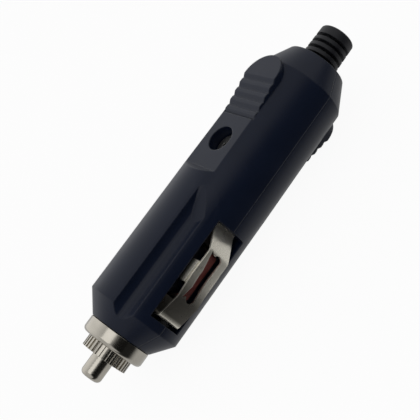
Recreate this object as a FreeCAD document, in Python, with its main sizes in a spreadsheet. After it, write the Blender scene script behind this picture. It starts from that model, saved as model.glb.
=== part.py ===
import FreeCAD, Part
import os

import Sketcher

# A 12 volt accessory plug for a car's lighter socket, lying on its side.
# X runs from the contact tip to the cable end, and Z goes up through the screw panel.
# Every piece is drawn about the plug's own axis with the tip at X = 0, then placed
# so that the origin lies under the middle of the plug, on the surface it rests on.

doc = FreeCAD.newDocument("accessory_plug")
sheet = doc.addObject("Spreadsheet::Sheet", "Sizes")

SIZES = (
    # contact tip
    ("tip_reach", 4.7), ("tip_radius", 2.3), ("tip_round", 1.0),
    ("flange_radius", 3.5), ("flange_thickness", 1.0), ("tip_travel", 2.5),
    # turned nose cap with its toothed collar
    ("collar_length", 2.4), ("collar_radius", 5.05), ("tooth_count", 32),
    ("tooth_gap", 0.5), ("tooth_depth", 0.45), ("ring_length", 3.35),
    ("ring_radius", 6.85), ("ring_round", 0.9), ("cap_front_wall", 1.5),
    ("rim_chamfer", 0.2),
    # moulded casing, outside
    ("cone_length", 4.3), ("cone_front_radius", 6.9), ("barrel_radius", 10.25),
    ("insert_length", 31.3), ("insert_end_radius", 10.15), ("handle_length", 26.55),
    ("handle_end_radius", 9.85), ("shoulder_length", 6.1), ("shoulder_end_radius", 6.75),
    # moulded casing, inside
    ("spigot_radius", 5.4), ("spigot_length", 2.25), ("tube_wall", 1.5),
    ("core_radius", 7.2), ("core_end_wall", 2.0), ("room_radius", 6.6),
    ("room_rear_wall", 1.2), ("end_wall", 2.5),
    # screw panel, its screw and the boss inside
    ("panel_height", 8.77), ("panel_start", 31.5), ("panel_length", 13.3),
    ("panel_step", 1.6), ("screw_from_step", 7.0), ("counterbore_radius", 2.9),
    ("screw_seat", 4.6), ("boss_wall", 1.2), ("boss_radius", 2.9), ("screw_radius", 1.5),
    ("screw_length", 10.0), ("screw_head_radius", 2.6), ("screw_head_height", 1.7), ("recess_width", 0.75),
    ("recess_length", 2.8), ("recess_depth", 1.0),
    # ridged thumb grip
    ("grip_half_width", 5.7), ("grip_straight", 7.0), ("grip_root", 7.6),
    ("grip_front_height", 8.85), ("grip_crest_height", 10.1), ("ridge_pitch", 2.0),
    ("ridge_count", 5), ("ridge_height", 0.55), ("ridge_lead", 0.5),
    # long finger groove in each half
    ("groove_angle", 38.5), ("groove_floor", 8.56), ("groove_half_width", 2.85),
    ("groove_corner", 0.9), ("groove_length", 22.3), ("groove_runout", 6.6),
    # side windows and the spring clips in them
    ("window_from_cone", 2.0), ("window_length", 22.2), ("window_half_width", 4.0),
    ("clip_thickness", 0.45), ("clip_half_width", 2.9), ("clip_bend", 1.5), ("clip_fold_bend", 0.5),
    ("clip_front_crest", 11.3), ("clip_middle", 10.75), ("clip_rear_crest", 11.0),
    ("clip_fold_outer", 9.9), ("clip_fold_inner", 8.2), ("clip_leaf_end", 7.5),
    ("clip_tail", 7.5), ("clip_fold_gap", 0.8), ("clip_front_slope", 5.2),
    ("clip_crest_spacing", 10.6), ("clip_rear_slope", 5.2), ("clip_tail_length", 2.0),
    ("clip_leaf_length", 4.4), ("clip_hole_width", 2.45), ("clip_hole_length", 10.8),
    ("clip_ear_length", 4.8), ("clip_ear_depth", 2.1), ("clip_ear_out", 0.4),
    ("clip_travel", 0.9), ("tail_pocket_radius", 8.0),
    # copper straps under the clips
    ("strap_thickness", 0.4), ("strap_half_width", 1.1), ("strap_pad_length", 10.0),
    ("strap_slope", 1.2), ("strap_foot", 1.5), ("strap_lug", 3.0),
    # glass fuse, spring and rear terminal
    ("fuse_radius", 3.0), ("fuse_length", 30.0), ("fuse_cap_length", 6.0),
    ("fuse_cap_wall", 0.3), ("glass_wall", 0.6), ("fuse_wire_radius", 0.15),
    ("spring_length", 9.6), ("spring_radius", 2.3), ("spring_wire", 0.35), ("spring_turns", 6),
    ("terminal_thickness", 0.8), ("terminal_half", 4.2), ("terminal_tail", 5.0),
    ("terminal_tail_half", 1.2),
    # strain relief
    ("relief_length", 8.4), ("relief_radius", 4.1), ("relief_end_radius", 3.9),
    ("relief_flange_radius", 5.4), ("relief_flange", 2.0), ("cable_radius", 2.25),
    ("slot_first", 0.9), ("slot_pitch", 1.57), ("slot_width", 0.55), ("slot_count", 4),
    ("slot_web", 2.2), ("relief_round", 0.5),
    # fits
    ("run_clearance", 0.3), ("seat_clearance", 0.05), ("thread_clearance", 0.1),
)


class Size:
    """A length or number that knows its value and the sheet expression behind it."""

    def __init__(self, value, text):
        self.value = value
        self.text = text

    @staticmethod
    def of(other):
        return other if isinstance(other, Size) else Size(other, repr(other))

    def __add__(self, other):
        other = Size.of(other)
        return Size(self.value + other.value, f"({self.text} + {other.text})")

    def __sub__(self, other):
        other = Size.of(other)
        return Size(self.value - other.value, f"({self.text} - {other.text})")

    def __mul__(self, other):
        other = Size.of(other)
        return Size(self.value * other.value, f"({self.text} * {other.text})")

    def __truediv__(self, other):
        other = Size.of(other)
        return Size(self.value / other.value, f"({self.text} / {other.text})")

    def __neg__(self):
        return Size(-self.value, f"(-1 * {self.text})")


class Sizes:
    """The driving dimensions by name."""


d = Sizes()
for row, (alias, number) in enumerate(SIZES, start=1):
    sheet.set(f"A{row}", alias)
    sheet.set(f"B{row}", str(number))
    sheet.setAlias(f"B{row}", alias)
    setattr(d, alias, Size(number, f"Sizes.{alias}"))
doc.recompute()

ZERO = Size(0.0, "0")
FAR = d.barrel_radius * 2

# stations along the axis, from the tip
cap_x = d.tip_reach
ring_x = cap_x + d.collar_length
body_x = ring_x + d.ring_length
barrel_x = body_x + d.cone_length
handle_x = barrel_x + d.insert_length
shoulder_x = handle_x + d.handle_length
relief_x = shoulder_x + d.shoulder_length
overall = relief_x + d.relief_length

flange_x = cap_x + d.cap_front_wall + d.seat_clearance
fuse_x = flange_x + d.flange_thickness
spring_x = fuse_x + d.fuse_length
terminal_x = spring_x + d.spring_length
room_x = terminal_x + d.terminal_thickness + d.seat_clearance

fuse_bore = d.fuse_radius + d.run_clearance
flange_bore = d.flange_radius + d.run_clearance
tube_radius = fuse_bore + d.tube_wall

panel_x = barrel_x + d.panel_start
screw_x = panel_x + d.screw_from_step
grip_x = panel_x + d.panel_length
grip_round_x = grip_x + d.grip_straight

window_x = barrel_x + d.window_from_cone
window_end = window_x + d.window_length
fold_x = window_x + d.clip_fold_gap
front_crest_x = fold_x + d.clip_front_slope
rear_crest_x = front_crest_x + d.clip_crest_spacing
tail_x = rear_crest_x + d.clip_rear_slope
tail_end = tail_x + d.clip_tail_length
clip_middle_x = front_crest_x + d.clip_crest_spacing / 2


def bind(obj, prop, size):
    """Tie one property to the sheet."""
    obj.setExpression(prop, Size.of(size).text)


def place(obj, x=ZERO, y=ZERO, z=ZERO):
    bind(obj, "Placement.Base.x", x)
    bind(obj, "Placement.Base.y", y)
    bind(obj, "Placement.Base.z", z)


def turned(obj, axis, degrees):
    base = obj.Placement.Base
    obj.Placement = FreeCAD.Placement(base, FreeCAD.Rotation(FreeCAD.Vector(*axis), degrees))


def box(name, x0, x1, y0, y1, z0, z1):
    obj = doc.addObject("Part::Box", name)
    bind(obj, "Length", x1 - x0)
    bind(obj, "Width", y1 - y0)
    bind(obj, "Height", z1 - z0)
    place(obj, x0, y0, z0)
    return obj


def rod(name, x0, x1, radius):
    """A cylinder along the plug's axis."""
    obj = doc.addObject("Part::Cylinder", name)
    turned(obj, (0, 1, 0), 90)
    bind(obj, "Radius", radius)
    bind(obj, "Height", x1 - x0)
    place(obj, x0)
    return obj


def post(name, x, z0, z1, radius):
    """A cylinder standing on the axis, along Z."""
    obj = doc.addObject("Part::Cylinder", name)
    bind(obj, "Radius", radius)
    bind(obj, "Height", z1 - z0)
    place(obj, x, ZERO, z0)
    return obj


def pillar(name, x, y0, y1, radius):
    """A cylinder across the axis, along Y."""
    obj = doc.addObject("Part::Cylinder", name)
    turned(obj, (1, 0, 0), -90)
    bind(obj, "Radius", radius)
    bind(obj, "Height", y1 - y0)
    place(obj, x, y0)
    return obj


def cut(name, base, *tools):
    for count, tool in enumerate(tools, start=1):
        obj = doc.addObject("Part::Cut", f"{name}_cut{count}")
        obj.Base = base
        obj.Tool = tool
        base = obj
    base.Label = name
    return base


def fuse(name, *pieces):
    obj = doc.addObject("Part::MultiFuse", name)
    obj.Shapes = list(pieces)
    obj.Refine = True
    return obj


def common(name, first, second):
    obj = doc.addObject("Part::Common", name)
    obj.Base = first
    obj.Tool = second
    return obj


def draw(sketch, points, closed=True):
    """Straight lines through the points, each point dimensioned from the origin."""
    vectors = [FreeCAD.Vector(Size.of(u).value, Size.of(v).value, 0) for u, v in points]
    last = len(points) if closed else len(points) - 1
    for i in range(last):
        sketch.addGeometry(Part.LineSegment(vectors[i], vectors[(i + 1) % len(points)]))
    for i in range(last - 1):
        sketch.addConstraint(Sketcher.Constraint("Coincident", i, 2, i + 1, 1))
    if closed:
        sketch.addConstraint(Sketcher.Constraint("Coincident", last - 1, 2, 0, 1))
    for i, (u, v) in enumerate(points):
        line, end = (i, 1) if i < last else (i - 1, 2)
        for kind, size, axis in (("DistanceX", Size.of(u), -2), ("DistanceY", Size.of(v), -1)):
            if size.text == ZERO.text:
                sketch.addConstraint(Sketcher.Constraint("PointOnObject", line, end, axis))
                continue
            index = sketch.addConstraint(
                Sketcher.Constraint(kind, -1, 1, line, end, size.value))
            sketch.setExpression(f"Constraints[{index}]", size.text)
    return sketch


def profile(name, points, closed=True):
    """A free sketch in the XY plane."""
    return draw(doc.addObject("Sketcher::SketchObject", name), points, closed)


def revolve(name, points, degrees=360):
    obj = doc.addObject("Part::Revolution", name)
    obj.Source = profile(f"{name}_profile", points)
    obj.Axis = FreeCAD.Vector(1, 0, 0)
    obj.Angle = degrees
    obj.Solid = True
    return obj


def extrude_across(name, points, half_width):
    """A side-view outline (x, z), carried half_width to each side of the axis."""
    side = profile(f"{name}_profile", points)
    turned(side, (1, 0, 0), 90)
    obj = doc.addObject("Part::Extrusion", name)
    obj.Base = side
    obj.DirMode = "Normal"
    obj.Solid = True
    obj.Symmetric = True
    bind(obj, "LengthFwd", half_width * 2)
    return obj


def turned_body(name, points):
    """A lathe-turned piece: a PartDesign body with one revolved sketch."""
    body = doc.addObject("PartDesign::Body", name)
    plane = [f for f in body.Origin.OriginFeatures if f.Role == "XY_Plane"][0]
    axis = [f for f in body.Origin.OriginFeatures if f.Role == "X_Axis"][0]
    sketch = body.newObject("Sketcher::SketchObject", f"{name}_profile")
    sketch.AttachmentSupport = [(plane, "")]
    sketch.MapMode = "FlatFace"
    draw(sketch, points)
    feature = body.newObject("PartDesign::Revolution", f"{name}_turned")
    feature.Profile = sketch
    feature.ReferenceAxis = (axis, [""])
    feature.Angle = 360
    doc.recompute()
    return body, feature


def round_rims(body, feature, rims, radius):
    """Round the circular edges of a turned piece at the given (station, radius) pairs."""
    names = []
    for number, edge in enumerate(feature.Shape.Edges, start=1):
        if not isinstance(edge.Curve, Part.Circle):
            continue
        for x, r in rims:
            if abs(edge.Curve.Center.x - x.value) < 1e-4 and abs(edge.Curve.Radius - r.value) < 1e-4:
                names.append(f"Edge{number}")
    fillet = body.newObject("PartDesign::Fillet", f"{body.Name}_round")
    fillet.Base = (feature, sorted(set(names)))
    bind(fillet, "Radius", radius)
    doc.recompute()
    return fillet


NODES = []


def node(obj, name, half_turn=False):
    """Name a finished piece and set it on the shared frame."""
    obj.Label = name
    if half_turn:
        turned(obj, (1, 0, 0), 180)
    place(obj, -(overall / 2), ZERO, d.barrel_radius)
    NODES.append(obj)


# casing halves
# Each half is one moulding: half of the barrel with its cone, handle and shoulder, a half
# spigot for the cap's thread, the fuse tube, a cored wall, the cable room and a screw boss.

def casing_half(name, carries_head):
    core_end = room_x - d.core_end_wall - d.terminal_thickness
    flange_room = relief_x - d.end_wall - d.relief_flange
    shell = revolve(f"{name}_barrel", (
        (body_x - d.spigot_length, flange_bore),
        (body_x - d.spigot_length, d.spigot_radius),
        (body_x, d.spigot_radius),
        (body_x, d.cone_front_radius),
        (barrel_x, d.barrel_radius),
        (handle_x, d.insert_end_radius),
        (shoulder_x, d.handle_end_radius),
        (relief_x, d.shoulder_end_radius),
        (relief_x, d.relief_radius + d.seat_clearance),
        (relief_x - d.end_wall, d.relief_radius + d.seat_clearance),
        (relief_x - d.end_wall, d.relief_flange_radius + d.seat_clearance),
        (flange_room, d.relief_flange_radius + d.seat_clearance),
        (flange_room, d.cable_radius + d.run_clearance),
        (flange_room - d.room_rear_wall, d.cable_radius + d.run_clearance),
        (flange_room - d.room_rear_wall, d.room_radius),
        (room_x, d.room_radius),
        (room_x, fuse_bore),
        (fuse_x + d.tip_travel + d.run_clearance, fuse_bore),
        (fuse_x + d.tip_travel + d.run_clearance, flange_bore),
    ), degrees=180)

    panel = extrude_across(f"{name}_panel_cut", (
        (panel_x - d.panel_step, d.panel_height + d.panel_step),
        (panel_x, d.panel_height),
        (grip_x + d.ridge_lead, d.panel_height),
        (grip_x + d.ridge_lead, FAR),
        (panel_x - d.panel_step, FAR),
    ), FAR)

    groove_side = extrude_across(f"{name}_groove_side", (
        (body_x - d.spigot_length, d.groove_floor),
        (barrel_x + d.groove_length, d.groove_floor),
        (barrel_x + d.groove_length + d.groove_runout, d.barrel_radius),
        (barrel_x + d.groove_length + d.groove_runout, FAR),
        (body_x - d.spigot_length, FAR),
    ), FAR)
    groove_section = profile(f"{name}_groove_section", (
        (-d.groove_half_width, FAR),
        (-d.groove_half_width, d.groove_floor + d.groove_corner),
        (d.groove_corner - d.groove_half_width, d.groove_floor),
        (d.groove_half_width - d.groove_corner, d.groove_floor),
        (d.groove_half_width, d.groove_floor + d.groove_corner),
        (d.groove_half_width, FAR),
    ))
    groove_section.Placement = FreeCAD.Placement(
        FreeCAD.Vector(), FreeCAD.Rotation(FreeCAD.Vector(1, 1, 1), 120))
    groove_run = doc.addObject("Part::Extrusion", f"{name}_groove_run")
    groove_run.Base = groove_section
    groove_run.DirMode = "Normal"
    groove_run.Solid = True
    bind(groove_run, "LengthFwd", overall)
    groove = common(f"{name}_groove", groove_side, groove_run)
    bind(groove, "Placement.Rotation.Angle", d.groove_angle)
    groove.Placement.Rotation.Axis = FreeCAD.Vector(1, 0, 0)

    core = cut(f"{name}_core", rod(f"{name}_core_outer", window_x, core_end, d.core_radius),
               rod(f"{name}_core_inner", window_x, core_end, tube_radius))

    reliefs = [panel, groove, core]
    for side, sign in (("near", -1), ("far", 1)):
        def across(inner, outer):
            return (inner, outer) if sign > 0 else (-outer, -inner)
        reliefs.append(box(f"{name}_window_{side}", window_x, window_end,
                           *across(tube_radius, FAR), -FAR, d.window_half_width))
        reliefs.append(box(f"{name}_tail_pocket_{side}", window_end - d.clip_thickness,
                           tail_end + d.run_clearance, *across(tube_radius, d.tail_pocket_radius),
                           -FAR, d.clip_half_width + d.run_clearance))
        reliefs.append(box(f"{name}_strap_slot_{side}", core_end - d.strap_foot, room_x + d.strap_foot,
                           *across(tube_radius, tube_radius + d.strap_thickness + d.run_clearance),
                           -FAR, d.strap_half_width + d.seat_clearance))
    reliefs.append(box(f"{name}_terminal_slot", terminal_x, room_x,
                       -d.terminal_half - d.seat_clearance, d.terminal_half + d.seat_clearance,
                       -FAR, d.terminal_half + d.seat_clearance))
    hollow = cut(f"{name}_hollow", shell, *reliefs)

    additions = [post(f"{name}_boss", screw_x, ZERO, d.grip_root, d.boss_radius)]
    if carries_head:
        additions.append(post(f"{name}_head_boss", screw_x, d.screw_seat - d.boss_wall, d.grip_root,
                              d.counterbore_radius + d.boss_wall))
    grip_plan = fuse(f"{name}_grip_plan",
                     box(f"{name}_grip_block", grip_x, grip_round_x,
                         -d.grip_half_width, d.grip_half_width, d.grip_root, FAR),
                     post(f"{name}_grip_end", grip_round_x, d.grip_root, FAR, d.grip_half_width))
    rise = (d.grip_crest_height - d.grip_front_height - d.ridge_height) / d.ridge_count
    ridges = []
    for i in range(int(d.ridge_count.value)):
        valley_x = grip_x + d.ridge_pitch * i
        valley = d.grip_front_height + rise * i
        ridges.append((valley_x, valley))
        ridges.append((valley_x + d.ridge_lead, valley + d.ridge_height))
        ridges.append((valley_x + d.ridge_lead * 2, valley + d.ridge_height))
    grip_end = grip_round_x + d.grip_half_width
    grip_side = extrude_across(f"{name}_grip_side", (
        (grip_x, d.grip_root - d.ridge_height),
        *ridges,
        (grip_x + d.ridge_pitch * d.ridge_count, d.grip_crest_height - d.ridge_height),
        (grip_x + d.ridge_pitch * d.ridge_count + d.ridge_lead, d.grip_crest_height),
        (grip_end + d.ridge_lead, d.grip_crest_height),
        (grip_end + d.ridge_lead, d.grip_root - d.ridge_height),
    ), d.grip_half_width * 2)
    grip = common(f"{name}_grip", grip_plan, grip_side)
    solid = fuse(f"{name}_solid", hollow, grip, *additions)

    hole_radius = d.screw_radius + d.seat_clearance
    if carries_head:
        drilled = cut(f"{name}_drilled", solid,
                      post(f"{name}_screw_hole", screw_x, -FAR, d.screw_seat, hole_radius),
                      post(f"{name}_counterbore", screw_x, d.screw_seat, FAR, d.counterbore_radius))
    else:
        drilled = cut(f"{name}_drilled", solid,
                      post(f"{name}_pilot_hole", screw_x, -FAR,
                           d.screw_length - d.screw_seat + d.run_clearance, hole_radius))
    return drilled


node(casing_half("upper", True), "upper_shell")
node(casing_half("lower", False), "lower_shell", half_turn=True)

# casing screw
# A pan-head screw, seated in the upper half's counterbore and cut into the lower half's boss.

shank = post("screw_shank", screw_x, d.screw_seat - d.screw_length, d.screw_seat, d.screw_radius)
head = post("screw_head", screw_x, d.screw_seat, d.screw_seat + d.screw_head_height, d.screw_head_radius)
head_top = d.screw_seat + d.screw_head_height
half_long = d.recess_length / 2
half_thin = d.recess_width / 2
blade_a = box("recess_along", screw_x - half_long, screw_x + half_long,
              -half_thin, half_thin, head_top - d.recess_depth, head_top + d.recess_depth)
blade_b = box("recess_across", screw_x - half_thin, screw_x + half_thin,
              -half_long, half_long, head_top - d.recess_depth, head_top + d.recess_depth)
node(cut("screw", fuse("screw_blank", shank, head), blade_a, blade_b), "case_screw")

# nose cap
# Turned in brass: a smooth ring, a toothed collar to unscrew it by, and a bore that holds
# the tip's flange behind the front wall and takes the casing's threaded spigot.

cap_body, cap_turned = turned_body("cap", (
    (cap_x, d.tip_radius + d.run_clearance),
    (cap_x, d.collar_radius),
    (ring_x, d.collar_radius),
    (ring_x, d.ring_radius),
    (body_x - d.rim_chamfer, d.ring_radius),
    (body_x, d.ring_radius - d.rim_chamfer),
    (body_x, d.spigot_radius + d.thread_clearance),
    (body_x - d.spigot_length - d.run_clearance, d.spigot_radius + d.thread_clearance),
    (body_x - d.spigot_length - d.run_clearance, flange_bore),
    (cap_x + d.cap_front_wall, flange_bore),
    (cap_x + d.cap_front_wall, d.tip_radius + d.run_clearance),
))
round_rims(cap_body, cap_turned, [(ring_x, d.ring_radius)], d.ring_round)
gap_tool = box("tooth_gap_tool", cap_x - d.tooth_gap, ring_x,
               -(d.tooth_gap / 2), d.tooth_gap / 2, d.collar_radius - d.tooth_depth, FAR)
gaps = doc.addObject("Part::Feature", "tooth_gaps")
doc.recompute()
one_gap = gap_tool.Shape
count = int(d.tooth_count.value)
turns = []
for i in range(count):
    copy = one_gap.copy()
    copy.rotate(FreeCAD.Vector(), FreeCAD.Vector(1, 0, 0), 360.0 * i / count)
    turns.append(copy)
gaps.Shape = Part.makeCompound(turns)
node(cut("cap_toothed", cap_body, gaps), "nose_cap")

# contact tip
# A turned pin with a rounded end and a flange that the cap keeps from falling out.

tip_body, tip_turned = turned_body("tip", (
    (ZERO, ZERO),
    (ZERO, d.tip_radius),
    (flange_x, d.tip_radius),
    (flange_x, d.flange_radius),
    (fuse_x, d.flange_radius),
    (fuse_x, ZERO),
))
round_rims(tip_body, tip_turned, [(ZERO, d.tip_radius)], d.tip_round)
node(tip_body, "tip_contact")

# fuse
# A glass tube with a metal cap pressed on each end and a fine wire from cap to cap.

glass_radius = d.fuse_radius - d.fuse_cap_wall - d.seat_clearance
glass_x = fuse_x + d.fuse_cap_wall + d.seat_clearance
glass_end = spring_x - d.fuse_cap_wall - d.seat_clearance
node(cut("glass", rod("glass_outside", glass_x, glass_end, glass_radius),
         rod("glass_inside", glass_x, glass_end, glass_radius - d.glass_wall)), "fuse_glass")
for name, closed_x, open_x, floor_x in (
        ("fuse_front_cap", fuse_x, fuse_x + d.fuse_cap_length, fuse_x + d.fuse_cap_wall),
        ("fuse_rear_cap", spring_x, spring_x - d.fuse_cap_length, spring_x - d.fuse_cap_wall)):
    cup, _ = turned_body(f"{name}_cup", (
        (closed_x, ZERO),
        (closed_x, d.fuse_radius),
        (open_x, d.fuse_radius),
        (open_x, glass_radius + d.seat_clearance),
        (floor_x, glass_radius + d.seat_clearance),
        (floor_x, ZERO),
    ))
    node(cup, name)
wire_body, _ = turned_body("fuse_wire", (
    (fuse_x + d.fuse_cap_wall, ZERO),
    (fuse_x + d.fuse_cap_wall, d.fuse_wire_radius),
    (spring_x - d.fuse_cap_wall, d.fuse_wire_radius),
    (spring_x - d.fuse_cap_wall, ZERO),
))
node(wire_body, "fuse_element")

# contact spring
# A coil of round wire that presses the fuse and the tip forward from the rear terminal.

coil = doc.addObject("Part::Helix", "spring_path")
turned(coil, (0, 1, 0), 90)
bind(coil, "Radius", d.spring_radius)
bind(coil, "Height", d.spring_length - d.spring_wire * 2 - d.seat_clearance * 2)
bind(coil, "Pitch", (d.spring_length - d.spring_wire * 2 - d.seat_clearance * 2) / d.spring_turns)
place(coil, spring_x + d.spring_wire + d.seat_clearance)
wire_section = doc.addObject("Part::Circle", "spring_section")
turned(wire_section, (1, 0, 0), 90)
bind(wire_section, "Radius", d.spring_wire)
place(wire_section, spring_x + d.spring_wire + d.seat_clearance, ZERO, -d.spring_radius)
doc.recompute()
spring = doc.addObject("Part::Sweep", "spring_coil")
spring.Sections = [wire_section]
spring.Spine = (coil, ["Edge%d" % (i + 1) for i in range(len(coil.Shape.Edges))])
spring.Solid = True
spring.Frenet = True
node(spring, "contact_spring")

# positive terminal
# A stamped plate held in a slot between the halves, with a soldering tail beside the boss.

tail_y = d.terminal_half - d.terminal_thickness
plate = box("terminal_plate", terminal_x, terminal_x + d.terminal_thickness,
            -d.terminal_half, d.terminal_half, -d.terminal_half, d.terminal_half)
tail = box("terminal_tab", terminal_x, terminal_x + d.terminal_tail,
           tail_y, d.terminal_half, -d.terminal_tail_half, d.terminal_tail_half)
node(fuse("terminal", plate, tail), "positive_terminal")


# side clips and straps
# Both are bent from flat strip: a side-view outline of the bends, carried across the width.

def strip(name, outer, inner, bends, half_width, near):
    """A bent strip standing out from the axis along -Y when near, or along +Y.

    outer and inner are the strip's two faces in side view, and bends gives the inside
    radius at each corner between the two ends.
    """
    blank = extrude_across(f"{name}_blank", list(outer) + list(reversed(inner)), half_width)
    doc.recompute()
    thick = Size.of(outer[0][1] - inner[0][1]).value
    rounds = []
    for i, bend in enumerate(bends, start=1):
        before, here, after = [FreeCAD.Vector(u.value, v.value, 0) for u, v in outer[i - 1:i + 2]]
        opens_inwards = (here - before).cross(after - here).z < 0
        for face, inside in ((outer, not opens_inwards), (inner, opens_inwards)):
            radius = bend.value if inside else bend.value + abs(thick)
            x, r = (size.value for size in face[i])
            for number, edge in enumerate(blank.Shape.Edges, start=1):
                middle = edge.CenterOfMass
                if abs(middle.x - x) + abs(middle.y) + abs(middle.z - r) < 1e-4:
                    rounds.append((number, radius, radius))
    rounded = doc.addObject("Part::Fillet", name)
    rounded.Base = blank
    rounded.Edges = rounds
    turned(rounded, (1, 0, 0), 90 if near else -90)
    return rounded


def clip(side, near):
    thick = d.clip_thickness
    outer = (
        (fold_x + d.clip_leaf_length, d.clip_leaf_end - thick),
        (fold_x, d.clip_fold_inner - thick),
        (fold_x, d.clip_fold_outer),
        (front_crest_x, d.clip_front_crest),
        (clip_middle_x, d.clip_middle),
        (rear_crest_x, d.clip_rear_crest),
        (tail_x, d.clip_tail),
        (tail_end, d.clip_tail - thick / 2),
    )
    inner = (
        (fold_x + d.clip_leaf_length, d.clip_leaf_end),
        (fold_x + thick, d.clip_fold_inner),
        (fold_x + thick, d.clip_fold_outer - thick * 0.8),
        (front_crest_x, d.clip_front_crest - thick),
        (clip_middle_x, d.clip_middle - thick),
        (rear_crest_x, d.clip_rear_crest - thick),
        (tail_x - thick * 0.8, d.clip_tail - thick),
        (tail_end, d.clip_tail - thick * 1.5),
    )
    bends = (d.clip_fold_bend, d.clip_fold_bend, d.clip_bend, d.clip_bend, d.clip_bend, d.clip_bend)
    blank = strip(f"{side}_clip_strip", outer, inner, bends, d.clip_half_width, near)

    def across(low, high):
        return (-high, -low) if near else (low, high)
    ears = []
    for edge, sign in (("top", 1), ("bottom", -1)):
        low = d.clip_half_width - thick
        high = d.clip_half_width + d.clip_ear_out
        z0, z1 = (low, high) if sign > 0 else (-high, -low)
        ears.append(box(f"{side}_clip_ear_{edge}",
                        clip_middle_x - d.clip_ear_length / 2, clip_middle_x + d.clip_ear_length / 2,
                        *across(d.clip_middle - d.clip_ear_depth, d.clip_middle - thick / 2), z0, z1))
    hole_radius = d.clip_hole_width / 2
    reach = d.clip_hole_length / 2 - hole_radius
    low, high = across(d.clip_fold_inner, FAR)
    slot = fuse(f"{side}_clip_slot",
                box(f"{side}_slot_middle", clip_middle_x - reach, clip_middle_x + reach,
                    low, high, -hole_radius, hole_radius),
                pillar(f"{side}_slot_front", clip_middle_x - reach, low, high, hole_radius),
                pillar(f"{side}_slot_rear", clip_middle_x + reach, low, high, hole_radius))
    return cut(f"{side}_clip", fuse(f"{side}_clip_blank", blank, *ears), slot)


def strap(side, near):
    thick = d.strap_thickness
    low = tube_radius + d.seat_clearance
    pad = d.clip_middle - d.clip_thickness - d.clip_travel - d.seat_clearance * 2
    pad_x = clip_middle_x - d.strap_pad_length / 2
    pad_end = clip_middle_x + d.strap_pad_length / 2
    lug_end = room_x + d.strap_lug
    upper = (
        (pad_x - d.strap_slope - d.strap_foot, low + thick),
        (pad_x - d.strap_slope, low + thick),
        (pad_x, pad),
        (pad_end, pad),
        (pad_end + d.strap_slope, low + thick),
        (lug_end, low + thick),
    )
    under = (
        (pad_x - d.strap_slope - d.strap_foot, low),
        (pad_x - d.strap_slope + thick, low),
        (pad_x + thick, pad - thick),
        (pad_end - thick, pad - thick),
        (pad_end + d.strap_slope - thick, low),
        (lug_end, low),
    )
    return strip(f"{side}_strap", upper, under, (thick,) * 4, d.strap_half_width, near)


for side, near in (("near", True), ("far", False)):
    node(clip(side, near), f"{side}_ground_clip")
    node(strap(side, near), f"{side}_ground_strap")

# strain relief
# A soft moulding with a flange caught between the halves. Short slots, turned a quarter from
# one level to the next, let it bend with the cable.

flange_room = relief_x - d.end_wall - d.relief_flange
relief_body, relief_turned = turned_body("relief", (
    (flange_room + d.seat_clearance, d.cable_radius),
    (flange_room + d.seat_clearance, d.relief_flange_radius),
    (relief_x - d.end_wall - d.seat_clearance, d.relief_flange_radius),
    (relief_x - d.end_wall - d.seat_clearance, d.relief_radius),
    (relief_x, d.relief_radius),
    (overall, d.relief_end_radius),
    (overall, d.cable_radius),
))
round_rims(relief_body, relief_turned, [(overall, d.relief_end_radius)], d.relief_round)
slots = []
for i in range(int(d.slot_count.value)):
    start = relief_x + d.slot_first + d.slot_pitch * i
    stop = start + d.slot_width
    slab = rod(f"slot_disc_{i}", start, stop, d.relief_flange_radius)
    half = d.slot_web / 2
    if i % 2:
        web = box(f"slot_web_{i}", start, stop, -half, half, -FAR, FAR)
    else:
        web = box(f"slot_web_{i}", start, stop, -FAR, FAR, -half, half)
    slots.append(cut(f"slot_{i}", slab, web))
node(cut("relief_slotted", relief_body, *slots), "strain_relief")

doc.recompute()
faults = [f"{obj.Name}: {obj.State}" for obj in doc.Objects
          if "Invalid" in obj.State or "Error" in obj.State]
for piece in NODES:
    if piece.Shape.isNull() or not piece.Shape.isValid() or not piece.Shape.Solids:
        faults.append(f"{piece.Label}: no valid solid")
if faults:
    raise RuntimeError("; ".join(faults))

os.makedirs("parts", exist_ok=True)
for piece in NODES:
    piece.Shape.exportStep(f"parts/{piece.Label}.step")
    bounds = piece.Shape.BoundBox
    print(f"{piece.Label}: {len(piece.Shape.Solids)} solid, {piece.Shape.Volume:.1f} mm3, "
          f"x {bounds.XMin:.2f}..{bounds.XMax:.2f} y {bounds.YMin:.2f}..{bounds.YMax:.2f} "
          f"z {bounds.ZMin:.2f}..{bounds.ZMax:.2f}")
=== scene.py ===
import math

import bpy
from mathutils import Matrix, Vector


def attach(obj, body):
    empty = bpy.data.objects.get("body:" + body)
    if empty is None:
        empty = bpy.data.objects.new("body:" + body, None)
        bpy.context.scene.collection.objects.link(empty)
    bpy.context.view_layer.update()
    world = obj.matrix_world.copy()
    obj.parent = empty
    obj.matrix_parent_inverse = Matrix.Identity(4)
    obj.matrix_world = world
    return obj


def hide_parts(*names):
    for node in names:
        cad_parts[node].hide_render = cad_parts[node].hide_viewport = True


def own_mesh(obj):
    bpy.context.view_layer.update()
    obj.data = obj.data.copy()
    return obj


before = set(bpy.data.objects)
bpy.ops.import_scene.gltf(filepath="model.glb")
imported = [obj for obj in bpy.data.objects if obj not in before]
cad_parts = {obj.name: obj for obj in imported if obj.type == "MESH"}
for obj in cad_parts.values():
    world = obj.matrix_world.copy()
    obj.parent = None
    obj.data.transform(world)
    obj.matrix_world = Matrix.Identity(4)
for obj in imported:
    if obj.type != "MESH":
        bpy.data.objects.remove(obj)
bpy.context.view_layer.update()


# Fuse: a glass tube with a nickel-plated cap pressed on each end and a fine wire soldered from
# cap to cap. It lies loose in the casing's tube, between the contact tip and the coil spring.

MM = 0.001


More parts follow.
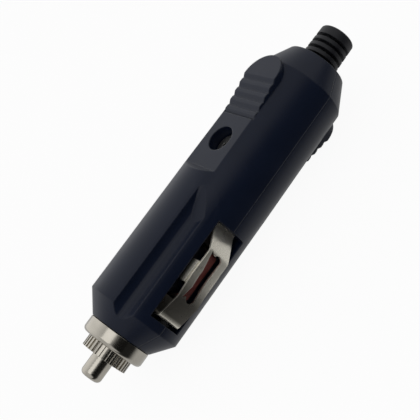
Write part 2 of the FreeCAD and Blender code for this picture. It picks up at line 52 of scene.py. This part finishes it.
class Sock:
    """A shader socket that takes part in plain arithmetic."""

    def __init__(self, tree, socket):
        self.tree = tree
        self.socket = socket

    def math(self, operation, first, second):
        return Shade(self.tree).node("ShaderNodeMath", {"operation": operation}, (first, second))

    def __add__(self, other):
        return self.math("ADD", self, other)

    def __radd__(self, other):
        return self.math("ADD", other, self)

    def __sub__(self, other):
        return self.math("SUBTRACT", self, other)

    def __rsub__(self, other):
        return self.math("SUBTRACT", other, self)

    def __mul__(self, other):
        return self.math("MULTIPLY", self, other)

    def __rmul__(self, other):
        return self.math("MULTIPLY", other, self)


class Shade:
    """Makes the nodes of one material or of the surround."""

    def __init__(self, tree):
        self.tree = tree

    def node(self, kind, settings=None, inputs=(), out=0):
        """Add a node: its settings first, then its inputs by order or by name."""
        made = self.tree.nodes.new(kind)
        for name, value in (settings or {}).items():
            setattr(made, name, value)
        pairs = inputs.items() if isinstance(inputs, dict) else enumerate(inputs)
        for key, value in pairs:
            if isinstance(value, Sock):
                self.tree.links.new(value.socket, made.inputs[key])
            else:
                made.inputs[key].default_value = value
        return Sock(self.tree, made.outputs[out])


def blank_finish(name):
    """A fresh material: its node maker, its shader and the piece's own coordinates."""
    made = bpy.data.materials.new(name)
    made.use_nodes = True
    shade = Shade(made.node_tree)
    return made, shade, made.node_tree.nodes["Principled BSDF"], shade.node("ShaderNodeTexCoord", out=3)


def feed(shade, shader, **sockets):
    """Set or link the shader's inputs by name, with underscores for spaces."""
    for name, value in sockets.items():
        target = shader.inputs[name.replace("_", " ")]
        if isinstance(value, Sock):
            shade.tree.links.new(value.socket, target)
        else:
            target.default_value = value


def noise(shade, place, scale, detail=3.0):
    return shade.node("ShaderNodeTexNoise", None, {"Vector": place, "Scale": scale, "Detail": detail})


def blend_of(shade, factor, low, high):
    """One colour socket or value passing into another."""
    return shade.node("ShaderNodeMix", {"data_type": "RGBA"}, {0: factor, 6: low, 7: high}, out=2)


def between(shade, factor, low, high):
    """One plain colour passing into another."""
    return blend_of(shade, factor, (*low, 1), (*high, 1))


def edge_normal_and_mask(shade, radius, gain):
    """A rounded normal for the piece's edges, and a mask that is strong along them."""
    rounded = shade.node("ShaderNodeBevel", {"samples": 6}, {"Radius": radius})
    plain = shade.node("ShaderNodeNewGeometry", out=1)
    agree = shade.node("ShaderNodeVectorMath", {"operation": "DOT_PRODUCT"}, (rounded, plain), out=1)
    mask = shade.node("ShaderNodeMath", {"operation": "MULTIPLY", "use_clamp": True}, (1 - agree, gain))
    return rounded, mask


def relief_of(shade, height, strength, depth, normal):
    """A fine relief on top of the rounded edges."""
    return shade.node("ShaderNodeBump", None, {
        "Strength": strength, "Distance": depth, "Height": height, "Normal": normal})


def dress(finish, *names):
    """Give CAD nodes one finish."""
    for name in names:
        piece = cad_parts[name]
        piece.data.materials.clear()
        piece.data.materials.append(finish)


def plated(name, colour, rough, rings=0.0, pitch=1500.0):
    """Metal plate: soft clouds in the shine, and tool rings on a turned blank."""
    finish, shade, shader, place = blank_finish(name)
    clouds = noise(shade, place, 420.0, 4.0)
    rounded, edge = edge_normal_and_mask(shade, 0.12 * MM, 3.0)
    duller = tuple(c * 0.86 for c in colour)
    brighter = tuple(min(c * 1.10, 1.0) for c in colour)
    if rings:
        marks = shade.node("ShaderNodeTexWave", {"bands_direction": "X"}, {
            "Vector": place, "Scale": pitch, "Distortion": 0.15})
        normal = relief_of(shade, marks, rings, 0.03 * MM, rounded)
    else:
        normal = relief_of(shade, clouds, 0.05, 0.02 * MM, rounded)
    feed(shade, shader, Base_Color=between(shade, clouds, duller, brighter), Metallic=1.0,
         Normal=normal, Roughness=rough + 0.10 * clouds - 0.06 * edge)
    return finish


glass_finish, shade, shader, place = blank_finish("fuse_glass")
smears = noise(shade, place, 260.0)
feed(shade, shader, Base_Color=between(shade, smears, (0.90, 0.95, 0.94), (0.97, 0.98, 0.98)),
     Roughness=0.03 + 0.06 * smears, Transmission_Weight=1.0, IOR=1.5)
dress(glass_finish, "fuse_glass")
dress(plated("fuse_cap_nickel", (0.62, 0.59, 0.53), 0.16, 0.01), "fuse_front_cap", "fuse_rear_cap")
dress(plated("fuse_wire_silver", (0.78, 0.77, 0.74), 0.22), "fuse_element")

# Contact tip: a turned brass pin with a rounded end, nickel plated with a warm tone. Its flange
# keeps it behind the nose cap's front wall, and the coil spring presses it out.

NICKEL = (0.53, 0.50, 0.44)
dress(plated("tip_nickel", NICKEL, 0.12, rings=0.55, pitch=520.0), "tip_contact")

# Contact spring: a coil of drawn steel wire, tin plated. It stands on the terminal's plate and
# presses fuse and tip towards the nose.

AXIS_HEIGHT = 10.25 * MM
SMOOTH_UNDER = math.radians(14)


def take(piece):
    """Make one object the only selected and active one."""
    bpy.ops.object.select_all(action="DESELECT")
    piece.select_set(True)
    bpy.context.view_layer.objects.active = piece


def merged_copy(node_name, name):
    """A CAD node's mesh as a new piece, with its loose triangles merged."""
    piece = bpy.data.objects.new(name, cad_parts[node_name].data.copy())
    bpy.context.collection.objects.link(piece)
    take(piece)
    bpy.ops.mesh.customdata_custom_splitnormals_clear()
    bpy.ops.object.mode_set(mode="EDIT")
    bpy.ops.mesh.select_all(action="SELECT")
    bpy.ops.mesh.remove_doubles(threshold=0.0005 * MM)
    bpy.ops.object.mode_set(mode="OBJECT")
    return piece


def finish_piece(piece, finish, node_name, body, slot, *loose):
    """Join loose parts on, shade the piece and let it stand for its CAD node."""
    take(piece)
    for part in loose:
        part.select_set(True)
    if loose:
        bpy.ops.object.join()
    bpy.ops.object.shade_smooth_by_angle(angle=SMOOTH_UNDER)
    piece.data.materials.clear()
    piece.data.materials.append(finish)
    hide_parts(node_name)
    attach(piece, body)


coil = merged_copy("contact_spring", "spring_coil")
finish_piece(coil, plated("spring_tin", (0.55, 0.55, 0.54), 0.22), "contact_spring", "casing", "spring_steel")
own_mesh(coil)

# Positive terminal: a stamped brass plate with a soldering tail, held in a slot between the
# casing halves.

dress(plated("terminal_brass", (0.60, 0.43, 0.18), 0.26), "positive_terminal")

# Ground straps: copper strip under each clip, bent up into a pad that the pressed clip meets and
# led back to the cable room. The pad is red-brown copper, and the strip is much darker further in.

PAD_REACH = (8.2 * MM, 8.6 * MM)


def ease(shade, value, span, low, high):
    """A value that passes smoothly from low to high over a span of another."""
    return shade.node("ShaderNodeMapRange", {"interpolation_type": "SMOOTHSTEP"}, (value, *span, low, high))


def reach_of(shade, place):
    """The distance from the plug's middle plane, to either side."""
    side = shade.node("ShaderNodeSeparateXYZ", None, (place,), out=1)
    return shade.node("ShaderNodeMath", {"operation": "ABSOLUTE"}, (side,))


strap_finish, shade, shader, place = blank_finish("strap_copper")
tarnish = noise(shade, place, 500.0)
_, edge = edge_normal_and_mask(shade, 0.15 * MM, 3.0)
# Red-brown copper at the pad's reach, much darker further in towards the middle.
pad_mask = ease(shade, reach_of(shade, place), PAD_REACH, 0.0, 1.0)
dark = between(shade, tarnish, (0.010, 0.008, 0.008), (0.026, 0.016, 0.014))
red = between(shade, tarnish, (0.13, 0.026, 0.022), (0.23, 0.055, 0.045))
feed(shade, shader, Base_Color=blend_of(shade, pad_mask, dark, red), Metallic=0.3 * pad_mask,
     Roughness=0.48 + 0.15 * tarnish - 0.1 * edge)
dress(strap_finish, "near_ground_strap", "far_ground_strap")

# Ground clips: nickel-plated spring strip, folded back on itself at the front and hooked under
# the casing's window at the rear. Rubbing in sockets leaves fine lines along its length. Its colour
# holds a painted reflection: dark on the slope behind the fold and on the leaf inside, bright on
# the fold's lip and the rear.

PLUG_LENGTH = 87.1 * MM
FOLD_PAINTED_SHEEN = (-25.7 * MM, -24.6 * MM)
REAR_PAINTED_SHEEN = (-21.8 * MM, -14.0 * MM)
TAIL_PAINTED_SHEEN = (-13.5 * MM, -12.0 * MM)
LEAF_PAINTED_SHADE = (9.2 * MM, 10.0 * MM)
OPENING = ((22.9, 2.0), (24.3, 0.2), (24.9, -1.0), (31.4, -0.9),
           (32.6, 0.4), (33.75, 2.3), (29.5, 1.3), (26.0, 1.15))
OPENING_INNER, OPENING_DEPTH = 4.0, 12.0
SIDEWAYS = 90.0


def at(x, across, height, turn=0.0, half=1):
    """A point by its station from the tip, its distance across and its height over the axis.

    These are in millimetres. turn leans the point towards the near clip, in degrees, and half
    is -1 for the lower half of the plug, which is the upper one turned half round.
    """
    lean = math.radians(turn)
    y = across * math.cos(lean) - height * math.sin(lean)
    z = across * math.sin(lean) + height * math.cos(lean)
    return Vector((x * MM - PLUG_LENGTH / 2, half * y * MM, AXIS_HEIGHT + half * z * MM))


def prism(name, outline, sweep):
    """A flat outline, extruded along a vector."""
    bpy.ops.object.select_all(action="DESELECT")
    bpy.ops.mesh.primitive_circle_add(vertices=len(outline), radius=MM, fill_type="NGON")
    piece = bpy.context.object
    piece.name = name
    for corner, spot in zip(piece.data.vertices, outline):
        corner.co = spot
    bpy.ops.object.mode_set(mode="EDIT")
    bpy.ops.mesh.select_all(action="SELECT")
    bpy.ops.mesh.extrude_region_move(TRANSFORM_OT_translate={"value": sweep})
    bpy.ops.mesh.select_all(action="SELECT")
    bpy.ops.mesh.normals_make_consistent(inside=False)
    bpy.ops.object.mode_set(mode="OBJECT")
    return piece


def carve(piece, tool, operation="DIFFERENCE"):
    """Cut, keep or add one solid, which is used up."""
    take(piece)
    change = piece.modifiers.new("carve", "BOOLEAN")
    change.operation = operation
    change.solver = "EXACT"
    change.object = tool
    bpy.ops.object.modifier_apply(modifier="carve")
    bpy.data.objects.remove(tool)


clip_finish, shade, shader, place = blank_finish("clip_nickel")
clouds = noise(shade, place, 380.0, 4.0)
stretched = shade.node("ShaderNodeMapping", None, {"Vector": place, "Scale": (0.06, 1.0, 1.0)})
rubs = noise(shade, stretched, 4200.0, 2.0)
rounded, edge = edge_normal_and_mask(shade, 0.14 * MM, 3.0)
along = shade.node("ShaderNodeSeparateXYZ", None, (place,), out=0)
# Painted reflection: these masks paint the clip dark on the front slope and the inner leaf, and bright on the
# fold's lip and the rear.
fold_sheen = ease(shade, along, FOLD_PAINTED_SHEEN, 1.0, 0.0)
rear = ease(shade, along, REAR_PAINTED_SHEEN, 0.0, 1.0)
outside_sheen = ease(shade, reach_of(shade, place), LEAF_PAINTED_SHADE, 0.25, 1.0)
tail = ease(shade, along, TAIL_PAINTED_SHEEN, 0.0, 1.0)
kept = shade.node("ShaderNodeMath", {"operation": "MAXIMUM"}, (outside_sheen, tail))
# The two colours of the painted reflection: the first is the painted dark one, fresh the painted bright one.
painted_dark_reflection = between(shade, clouds, (0.11, 0.105, 0.09), (0.17, 0.16, 0.14))
fresh = between(shade, clouds, (0.86, 0.82, 0.71), (0.98, 0.94, 0.83))
feed(shade, shader, Base_Color=blend_of(shade, (fold_sheen + rear) * kept, painted_dark_reflection, fresh), Metallic=0.82,
     Roughness=0.20 + 0.10 * clouds + 0.08 * rubs - 0.06 * edge,
     Normal=relief_of(shade, rubs, 0.05, 0.01 * MM, rounded))

for side, half in (("near", 1), ("far", -1)):
    strip = merged_copy(f"{side}_ground_clip", f"{side}_clip_strip")
    outline = [at(x, rise, OPENING_INNER, SIDEWAYS, half) for x, rise in OPENING]
    carve(strip, prism("clip_opening", outline, (0, -half * OPENING_DEPTH * MM, 0)))
    finish_piece(strip, clip_finish, f"{side}_ground_clip", f"{side}_clip", "clip_nickel")

# Casing halves: two injection mouldings in blue-black plastic, screwed together on the flat
# seam that runs through the clip windows. The mould leaves a fine satin grain, and the edges of
# panel, grip and grooves are a little paler: partly handling wear, partly a painted highlight.

# The barrel's outside, as stations and radii from the cone's front to the shoulder's end.
BARREL = ((10.45, 6.9), (14.75, 10.25), (46.05, 10.15), (72.6, 9.85), (78.7, 6.75))
ABOVE_BARREL, BELOW_BARREL = 0.003, 0.006
LATHE_STEPS = 240

RIDGES_FRONT, RIDGES_REAR, RIDGES_HALF_WIDTH = 58.9, 73.8, 6.4
RIDGES_LOW, RIDGES_HIGH = 7.0, 12.0
GRIP_FRONT, GRIP_ROUND, GRIP_HALF_WIDTH = 59.1, 68.4, 5.0
GRIP_ROOT, GRIP_BED, GRIP_CREST, GRIP_TALL = 7.4, 7.6, 10.22, 4.0
GRIP_GAP = 0.02
RIDGE_COUNT, RIDGE_PITCH, RIDGE_RISE, RIDGE_LEAD = 5, 2.03, 0.52, 0.8
FIRST_VALLEY, VALLEY_CLIMB = 8.29, 0.34

GROOVE_LEAN, GROOVE_FLOOR, GROOVE_RISE, GROOVE_HALF_WIDTH = 38.5, 8.77, 1.3, 2.4
GROOVE_STEPS = (-1.5, -1.0, -0.75, -0.5, -0.25, 0.0, 0.25, 0.5, 0.75, 1.0, 1.5)
GROOVE_FRONT, GROOVE_LENGTH = 8.0, 40.0
FILL_FRONT, FILL_LENGTH, FILL_HALF_WIDTH, FILL_FLOOR, FILL_TOP = 12.3, 31.6, 3.0, 8.1, 12.0
RUN_OUT_LEAN, RUN_OUT_HALF_WIDTH = 18.5, 12.0
RUN_OUT = ((7.0, 8.0), (35.6, 8.0), (44.2, 10.3), (44.2, 14.0), (7.0, 14.0))


def lathe(name, rims):
    """A solid turned about the plug's axis, through (station, radius) rims."""
    bpy.ops.object.select_all(action="DESELECT")
    bpy.ops.mesh.primitive_cylinder_add(vertices=LATHE_STEPS, radius=MM, depth=MM)
    piece = bpy.context.object
    piece.name = name
    first, last = rims[0][0], rims[-1][0]
    for corner in piece.data.vertices:
        end = first if corner.co.z < 0 else last
        corner.co = at(end, corner.co.x / MM, corner.co.y / MM)
    bpy.ops.object.mode_set(mode="EDIT")
    for station, _ in rims[1:-1]:
        bpy.ops.mesh.select_all(action="SELECT")
        bpy.ops.mesh.bisect(plane_co=at(station, 0, 0), plane_no=(1, 0, 0))
    bpy.ops.mesh.select_all(action="SELECT")
    bpy.ops.mesh.normals_make_consistent(inside=False)
    bpy.ops.object.mode_set(mode="OBJECT")
    for corner in piece.data.vertices:
        station = (corner.co.x + PLUG_LENGTH / 2) / MM
        radius = min(rims, key=lambda rim: abs(rim[0] - station))[1]
        out = Vector((corner.co.y, corner.co.z - AXIS_HEIGHT)).normalized() * radius * MM
        corner.co = (corner.co.x, out.x, AXIS_HEIGHT + out.y)
    return piece


def bar(name, front, length, half_width, low, high, lean, half):
    """A square bar along the plug, between two heights over the axis."""
    corners = ((-half_width, low), (half_width, low), (half_width, high), (-half_width, high))
    outline = [at(front, across, height, lean, half) for across, height in corners]
    return prism(name, outline, (length * MM, 0, 0))


def grip_outline(spread, height, half):
    """The grip seen from above: square in front, round behind."""
    wide = GRIP_HALF_WIDTH + spread
    turns = [math.radians(angle) for angle in range(0, 181, 6)]
    round_end = [at(GRIP_ROUND + wide * math.sin(a), wide * math.cos(a), height, 0, half) for a in turns]
    return [at(GRIP_FRONT, wide, height, 0, half), *round_end, at(GRIP_FRONT, -wide, height, 0, half)]


def ridge_profile():
    """The grip seen from the side: ridges that climb to its flat crest."""
    profile = [(GRIP_FRONT - 1, RIDGES_LOW), (GRIP_FRONT - 1, FIRST_VALLEY)]
    for i in range(RIDGE_COUNT - 1):
        front = GRIP_FRONT + RIDGE_PITCH * i
        valley = FIRST_VALLEY + VALLEY_CLIMB * i
        crest = valley + RIDGE_RISE
        profile += [(front, valley), (front + RIDGE_LEAD, crest), (front + RIDGE_LEAD * 2, crest)]
    last = GRIP_FRONT + RIDGE_PITCH * (RIDGE_COUNT - 1)
    past_end = GRIP_ROUND + GRIP_HALF_WIDTH + 1.6
    return profile + [(last, GRIP_CREST - RIDGE_RISE), (last + RIDGE_LEAD, GRIP_CREST),
                      (past_end, GRIP_CREST), (past_end, RIDGES_LOW)]


def stepped_grip(half):
    """The grip by itself: its plan, kept under the ridges."""
    grip = prism("grip", grip_outline(0.0, GRIP_ROOT, half), (0, 0, half * GRIP_TALL * MM))
    beside = GRIP_HALF_WIDTH + 3
    profile = [at(x, -beside, z, 0, half) for x, z in ridge_profile()]
    carve(grip, prism("grip_side", profile, (0, half * 2 * beside * MM, 0)), "INTERSECT")
    return grip


def grooved_filling(half):
    """A strip that fills the CAD's groove up to the barrel, with the round groove cut in it."""
    filling = bar("groove_block", FILL_FRONT, FILL_LENGTH, FILL_HALF_WIDTH, FILL_FLOOR, FILL_TOP,
                  GROOVE_LEAN, half)
    carve(filling, lathe("barrel_skin", [(x, r - BELOW_BARREL) for x, r in BARREL[:3]]), "INTERSECT")
    section = [(GROOVE_HALF_WIDTH * s, GROOVE_FLOOR + GROOVE_RISE * s ** 2) for s in GROOVE_STEPS]
    outline = [at(GROOVE_FRONT, across, height, GROOVE_LEAN, half) for across, height in section]
    groove = prism("groove_run", outline, (GROOVE_LENGTH * MM, 0, 0))
    ramp = [at(x, -RUN_OUT_HALF_WIDTH, height, RUN_OUT_LEAN, half) for x, height in RUN_OUT]
    near_edge, far_edge = (at(0, side * RUN_OUT_HALF_WIDTH, 0, RUN_OUT_LEAN, half) for side in (-1, 1))
    carve(groove, prism("groove_ramp", ramp, far_edge - near_edge), "INTERSECT")
    carve(filling, groove)
    return filling


casing_finish, shade, shader, place = blank_finish("casing_plastic")
grain = noise(shade, place, 5200.0, 2.0)
clouds = noise(shade, place, 160.0)
rounded, edge = edge_normal_and_mask(shade, 0.38 * MM, 2.0)
tint = between(shade, clouds, (0.0036, 0.0070, 0.0190), (0.0056, 0.0102, 0.0270))
# Paler edges: partly handling wear, partly a painted highlight along panel, grip and grooves.
feed(shade, shader, Base_Color=blend_of(shade, 0.8 * edge, tint, (0.036, 0.040, 0.050, 1)),
     Specular_IOR_Level=0.25, Roughness=0.28 + 0.10 * clouds - 0.05 * edge,
     Normal=relief_of(shade, grain, 0.10, 0.02 * MM, rounded))

for node_name, half in (("upper_shell", 1), ("lower_shell", -1)):
    shell = merged_copy(node_name, node_name + "_moulding")
    above = bar("old_ridges", RIDGES_FRONT, RIDGES_REAR - RIDGES_FRONT, RIDGES_HALF_WIDTH,
                RIDGES_LOW, RIDGES_HIGH, 0, half)
    carve(above, lathe("barrel_keep", [(x, r + ABOVE_BARREL) for x, r in BARREL[2:]]))
    carve(shell, above)
    bed = grip_outline(GRIP_GAP, GRIP_BED, half)
    carve(shell, prism("grip_bed", bed, (0, 0, half * GRIP_TALL * MM)))
    grip = stepped_grip(half)
    carve(shell, grooved_filling(half), "UNION")
    finish_piece(shell, casing_finish, node_name, "casing", "casing", grip)

# Casing screw: a small pan-head screw of dark steel, its edges rubbed bright, driven through the
# upper half into the lower half's boss. Its head sits at the bottom of the panel's counterbore.

screw_finish, shade, shader, place = blank_finish("screw_black_steel")
wear = noise(shade, place, 900.0)
rounded, edge = edge_normal_and_mask(shade, 0.12 * MM, 3.0)
black = between(shade, wear, (0.20, 0.20, 0.20), (0.36, 0.36, 0.355))
feed(shade, shader, Base_Color=blend_of(shade, edge, black, (0.72, 0.71, 0.69, 1)), Metallic=1.0,
     Roughness=0.28 + 0.2 * wear, Normal=relief_of(shade, wear, 0.10, 0.02 * MM, rounded))
dress(screw_finish, "case_screw")

# Nose cap: turned brass, nickel plated, with a toothed collar to unscrew it by and a smooth
# ring. It screws on the casing's spigot and holds the tip and the fuse in.

dress(plated("cap_nickel", NICKEL, 0.12, 0.01), "nose_cap")

# Strain relief: a soft black moulding, duller than the casing, with its flange caught between
# the halves. Its rings stand on a thin sleeve, and its skin holds a little dust.

GAP_COUNT, FIRST_GAP, GAP_PITCH = 4, 79.5, 1.57
GAP_WIDTH, GAP_RADIUS, SLEEVE_RADIUS = 0.75, 5.0, 2.75
SLEEVE_SPARE = 0.4

relief_finish, shade, shader, place = blank_finish("relief_rubber")
dust = noise(shade, place, 700.0, 4.0)
rounded, edge = edge_normal_and_mask(shade, 0.2 * MM, 2.0)
feed(shade, shader, Base_Color=between(shade, dust, (0.0040, 0.0048, 0.0080), (0.0095, 0.0105, 0.0145)),
     Specular_IOR_Level=0.40, Roughness=0.44 + 0.12 * dust - 0.06 * edge,
     Normal=relief_of(shade, dust, 0.12, 0.02 * MM, rounded))

relief = merged_copy("strain_relief", "relief_bush")
for i in range(GAP_COUNT):
    front = FIRST_GAP + GAP_PITCH * i
    rear = front + GAP_WIDTH
    gap = lathe("ring_gap", [(front, GAP_RADIUS), (rear, GAP_RADIUS)])
    sleeve = [(front - SLEEVE_SPARE, SLEEVE_RADIUS), (rear + SLEEVE_SPARE, SLEEVE_RADIUS)]
    carve(gap, lathe("ring_rest", sleeve))
    carve(relief, gap)
finish_piece(relief, relief_finish, "strain_relief", "casing", "relief_rubber")

# Floor: one plain white sheet under the plug. It looks white to the camera and keeps a faint
# shadow. Shiny metal sees it mid grey under and beyond the plug, and nearly black on the near side.

FLOOR_SIZE = 4.0
FLOOR_WHITE = 0.94
NEAR_EDGE = (-25.0 * MM, -12.0 * MM)
CAMERA_RAY, GLOSSY_RAY, TRANSMISSION_RAY = 0, 3, 6

bpy.ops.object.select_all(action="DESELECT")
bpy.ops.mesh.primitive_plane_add(size=FLOOR_SIZE, location=(0, 0, 0))
floor = bpy.context.object
floor.name = "floor"
floor_finish, shade, shader, place = blank_finish("floor_white")
feed(shade, shader, Base_Color=(0.85, 0.85, 0.85, 1), Roughness=0.9)
across = shade.node("ShaderNodeSeparateXYZ", None, (place,), out=1)
sheen = ease(shade, across, NEAR_EDGE, 0.02, 0.55)
seen = shade.node("ShaderNodeLightPath", out=CAMERA_RAY)
mirrored = shade.node("ShaderNodeLightPath", out=GLOSSY_RAY)
through = shade.node("ShaderNodeLightPath", out=TRANSMISSION_RAY)
white = shade.node("ShaderNodeEmission", None, {"Color": (1, 1, 1, 1), "Strength": 1.0})
shine = shade.node("ShaderNodeEmission", None, {"Color": sheen, "Strength": 1.0})
lit = Sock(shade.tree, shader.outputs[0])
sheet = shade.node("ShaderNodeMixShader", None, (FLOOR_WHITE * seen + FLOOR_WHITE * through, lit, white))
sheet = shade.node("ShaderNodeMixShader", None, (mirrored, sheet, shine))
shade.tree.links.new(sheet.socket, shade.tree.nodes["Material Output"].inputs["Surface"])
floor.data.materials.append(floor_finish)

# Studio light: a bright surround, brightest beyond the plug and dark round the camera, and one
# large soft panel overhead. The camera and the glass see plain white behind the plug.

NEAR_SIDE = (0.0, -0.995, 0.10)
FAR_SIDE = (0.0, 0.90, 0.44)
PANEL_WATTS = 0.18
PANEL_SIZE = 0.30
PANEL_PLACE = Vector((-0.08, -0.20, 0.45))

world = bpy.data.worlds.new("surround")
bpy.context.scene.world = world
world.use_nodes = True
shade = Shade(world.node_tree)
way = shade.node("ShaderNodeTexCoord", out=0)
near = shade.node("ShaderNodeVectorMath", {"operation": "DOT_PRODUCT"}, (way, NEAR_SIDE), out=1)
beyond = shade.node("ShaderNodeVectorMath", {"operation": "DOT_PRODUCT"}, (way, FAR_SIDE), out=1)
dimmed = ease(shade, near, (0.66, 0.92), 1.0, 0.015)
glow = ease(shade, beyond, (0.35, 1.0), 0.60, 0.98)
seen = shade.node("ShaderNodeLightPath", out=CAMERA_RAY)
through = shade.node("ShaderNodeLightPath", out=TRANSMISSION_RAY)
plain = seen + through
back = world.node_tree.nodes["Background"]
feed(shade, back, Color=(1, 1, 1, 1), Strength=dimmed * glow * (1 - plain) + plain)

middle = Vector((0, 0, AXIS_HEIGHT))
panel = bpy.data.lights.new("soft_panel", "AREA")
panel.energy = PANEL_WATTS
panel.shape = "SQUARE"
panel.size = PANEL_SIZE
lamp = bpy.data.objects.new("soft_panel", panel)
bpy.context.collection.objects.link(lamp)
lamp.location = middle + PANEL_PLACE
lamp.rotation_euler = (middle - lamp.location).to_track_quat("-Z", "Y").to_euler()

# Camera: it looks at the near clip's side, 53 degrees down from the panel and a little from the
# nose, rolled so that the plug runs from lower left to upper right.

PHOTO_PX = 420.0
FOCAL_PX = 860.0
RAISED_PX = 2.0
SENSOR_WIDTH = 36.0
DISTANCE = 174.8 * MM
AIM_STATION = 40.76
FROM_PANEL = math.radians(53.0)
TOWARDS_NOSE = math.radians(8.5)
AXIS_SLOPE = math.radians(53.9)

back_dir = Vector((-math.sin(TOWARDS_NOSE),
                   -math.cos(TOWARDS_NOSE) * math.sin(FROM_PANEL),
                   math.cos(TOWARDS_NOSE) * math.cos(FROM_PANEL)))
along = Vector((1, 0, 0)) - back_dir * back_dir.x
along.normalize()
beside = (-back_dir).cross(along)
right = math.cos(AXIS_SLOPE) * along + math.sin(AXIS_SLOPE) * beside
up = math.sin(AXIS_SLOPE) * along - math.cos(AXIS_SLOPE) * beside
lens = bpy.data.cameras.new("photo_camera")
lens.sensor_width = SENSOR_WIDTH
lens.shift_y = RAISED_PX / PHOTO_PX
lens.lens = FOCAL_PX / PHOTO_PX * SENSOR_WIDTH
camera = bpy.data.objects.new("photo_camera", lens)
bpy.context.collection.objects.link(camera)
turn = Matrix((right, up, back_dir)).transposed().to_4x4()
camera.matrix_world = Matrix.Translation(at(AIM_STATION, 0, 0) + back_dir * DISTANCE) @ turn
bpy.context.scene.camera = camera
bpy.context.scene.view_settings.view_transform = "Standard"
